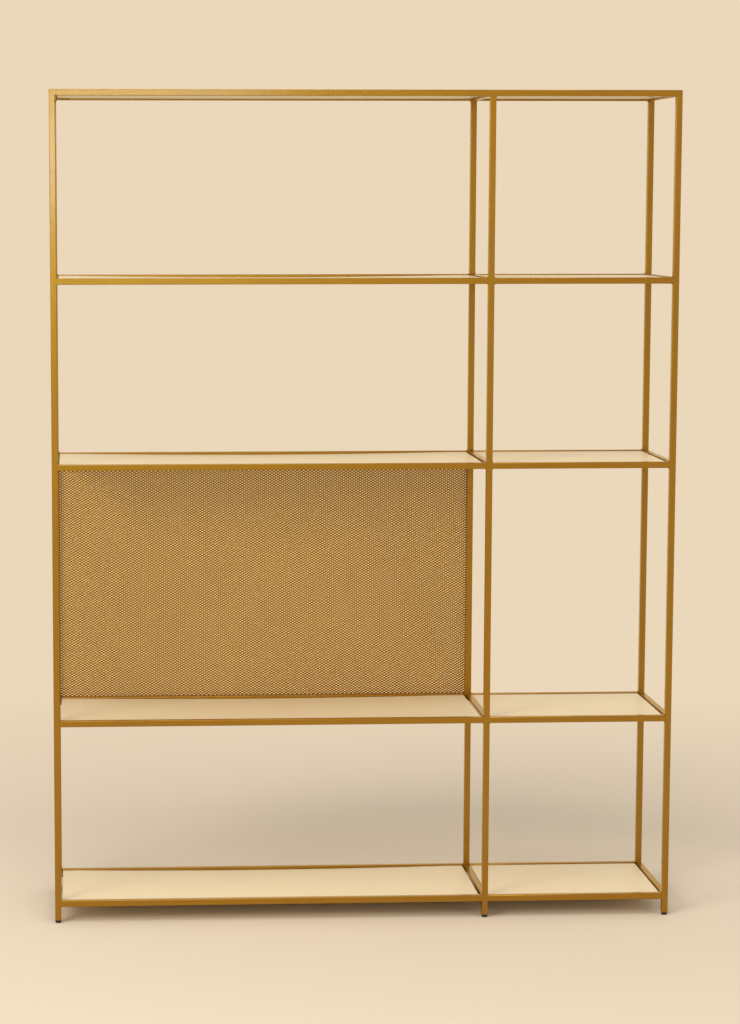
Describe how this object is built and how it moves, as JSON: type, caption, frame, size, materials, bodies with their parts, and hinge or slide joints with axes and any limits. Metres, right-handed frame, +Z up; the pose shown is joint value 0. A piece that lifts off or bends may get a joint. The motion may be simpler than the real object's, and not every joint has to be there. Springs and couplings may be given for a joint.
{
  "type": "shelving unit",
  "caption": "Tall open shelving unit of welded square tube with lift-out lacquered panels in a wide and a narrow bay, a row backed with expanded metal, and levelling glides.",
  "frame": {"origin": "on the floor, under the middle of the unit's bounding box", "axes": "+X to the right as seen from the front, +Y to the back, +Z up"},
  "size_m": [1.5, 0.352, 2],
  "materials": {
    "gold_tube": "satin brass-coloured paint",
    "gold_mesh": "satin brass-coloured paint",
    "cream_panel": "satin cream lacquer on board",
    "black_plastic": "matt moulded plastic"
  },
  "bodies": {
    "frame": {"post_front_left": "gold_tube", "post_rear_left": "gold_tube", "post_front_middle": "gold_tube", "post_rear_middle": "gold_tube", "post_front_right": "gold_tube", "post_rear_right": "gold_tube", "rail_front_wide_1": "gold_tube", "rail_rear_wide_1": "gold_tube", "rail_front_narrow_1": "gold_tube", "rail_rear_narrow_1": "gold_tube", "rail_front_wide_2": "gold_tube", "rail_rear_wide_2": "gold_tube", "rail_front_narrow_2": "gold_tube", "rail_rear_narrow_2": "gold_tube", "rail_front_wide_3": "gold_tube", "rail_rear_wide_3": "gold_tube", "rail_front_narrow_3": "gold_tube", "rail_rear_narrow_3": "gold_tube", "rail_front_wide_4": "gold_tube", "rail_rear_wide_4": "gold_tube", "rail_front_narrow_4": "gold_tube", "rail_rear_narrow_4": "gold_tube", "rail_front_wide_5": "gold_tube", "rail_rear_wide_5": "gold_tube", "rail_front_narrow_5": "gold_tube", "rail_rear_narrow_5": "gold_tube", "rail_side_left_1": "gold_tube", "rail_side_middle_1": "gold_tube", "rail_side_right_1": "gold_tube", "rail_side_left_2": "gold_tube", "rail_side_middle_2": "gold_tube", "rail_side_right_2": "gold_tube", "rail_side_left_3": "gold_tube", "rail_side_middle_3": "gold_tube", "rail_side_right_3": "gold_tube", "rail_side_left_4": "gold_tube", "rail_side_middle_4": "gold_tube", "rail_side_right_4": "gold_tube", "rail_side_left_5": "gold_tube", "rail_side_middle_5": "gold_tube", "rail_side_right_5": "gold_tube", "corner_tabs": "gold_tube", "leg_inserts": "black_plastic", "expanded_metal_back": "gold_mesh"},
    "shelf_panel_wide_1": {"shelf_panel_wide_1": "cream_panel"},
    "shelf_panel_narrow_1": {"shelf_panel_narrow_1": "cream_panel"},
    "shelf_panel_wide_2": {"shelf_panel_wide_2": "cream_panel"},
    "shelf_panel_narrow_2": {"shelf_panel_narrow_2": "cream_panel"},
    "shelf_panel_wide_3": {"shelf_panel_wide_3": "cream_panel"},
    "shelf_panel_narrow_3": {"shelf_panel_narrow_3": "cream_panel"},
    "shelf_panel_wide_4": {"shelf_panel_wide_4": "cream_panel"},
    "shelf_panel_narrow_4": {"shelf_panel_narrow_4": "cream_panel"},
    "shelf_panel_wide_5": {"shelf_panel_wide_5": "cream_panel"},
    "shelf_panel_narrow_5": {"shelf_panel_narrow_5": "cream_panel"},
    "levelling_glide_front_left": {"levelling_glide_front_left": "black_plastic"},
    "levelling_glide_rear_left": {"levelling_glide_rear_left": "black_plastic"},
    "levelling_glide_front_middle": {"levelling_glide_front_middle": "black_plastic"},
    "levelling_glide_rear_middle": {"levelling_glide_rear_middle": "black_plastic"},
    "levelling_glide_front_right": {"levelling_glide_front_right": "black_plastic"},
    "levelling_glide_rear_right": {"levelling_glide_rear_right": "black_plastic"}
  },
  "joints": [
    {"name": "shelf_panel_wide_1_lift", "type": "slide", "parent": "frame", "child": "shelf_panel_wide_1", "axis": [0, 0, 1], "range_m": [0, 0.03]},
    {"name": "shelf_panel_narrow_1_lift", "type": "slide", "parent": "frame", "child": "shelf_panel_narrow_1", "axis": [0, 0, 1], "range_m": [0, 0.03]},
    {"name": "shelf_panel_wide_2_lift", "type": "slide", "parent": "frame", "child": "shelf_panel_wide_2", "axis": [0, 0, 1], "range_m": [0, 0.03]},
    {"name": "shelf_panel_narrow_2_lift", "type": "slide", "parent": "frame", "child": "shelf_panel_narrow_2", "axis": [0, 0, 1], "range_m": [0, 0.03]},
    {"name": "shelf_panel_wide_3_lift", "type": "slide", "parent": "frame", "child": "shelf_panel_wide_3", "axis": [0, 0, 1], "range_m": [0, 0.03]},
    {"name": "shelf_panel_narrow_3_lift", "type": "slide", "parent": "frame", "child": "shelf_panel_narrow_3", "axis": [0, 0, 1], "range_m": [0, 0.03]},
    {"name": "shelf_panel_wide_4_lift", "type": "slide", "parent": "frame", "child": "shelf_panel_wide_4", "axis": [0, 0, 1], "range_m": [0, 0.03]},
    {"name": "shelf_panel_narrow_4_lift", "type": "slide", "parent": "frame", "child": "shelf_panel_narrow_4", "axis": [0, 0, 1], "range_m": [0, 0.03]},
    {"name": "shelf_panel_wide_5_lift", "type": "slide", "parent": "frame", "child": "shelf_panel_wide_5", "axis": [0, 0, 1], "range_m": [0, 0.03]},
    {"name": "shelf_panel_narrow_5_lift", "type": "slide", "parent": "frame", "child": "shelf_panel_narrow_5", "axis": [0, 0, 1], "range_m": [0, 0.03]},
    {"name": "levelling_glide_front_left_screw", "type": "slide", "parent": "frame", "child": "levelling_glide_front_left", "axis": [0, 0, -1], "range_m": [0, 0.01]},
    {"name": "levelling_glide_rear_left_screw", "type": "slide", "parent": "frame", "child": "levelling_glide_rear_left", "axis": [0, 0, -1], "range_m": [0, 0.01]},
    {"name": "levelling_glide_front_middle_screw", "type": "slide", "parent": "frame", "child": "levelling_glide_front_middle", "axis": [0, 0, -1], "range_m": [0, 0.01]},
    {"name": "levelling_glide_rear_middle_screw", "type": "slide", "parent": "frame", "child": "levelling_glide_rear_middle", "axis": [0, 0, -1], "range_m": [0, 0.01]},
    {"name": "levelling_glide_front_right_screw", "type": "slide", "parent": "frame", "child": "levelling_glide_front_right", "axis": [0, 0, -1], "range_m": [0, 0.01]},
    {"name": "levelling_glide_rear_right_screw", "type": "slide", "parent": "frame", "child": "levelling_glide_rear_right", "axis": [0, 0, -1], "range_m": [0, 0.01]}
  ]
}
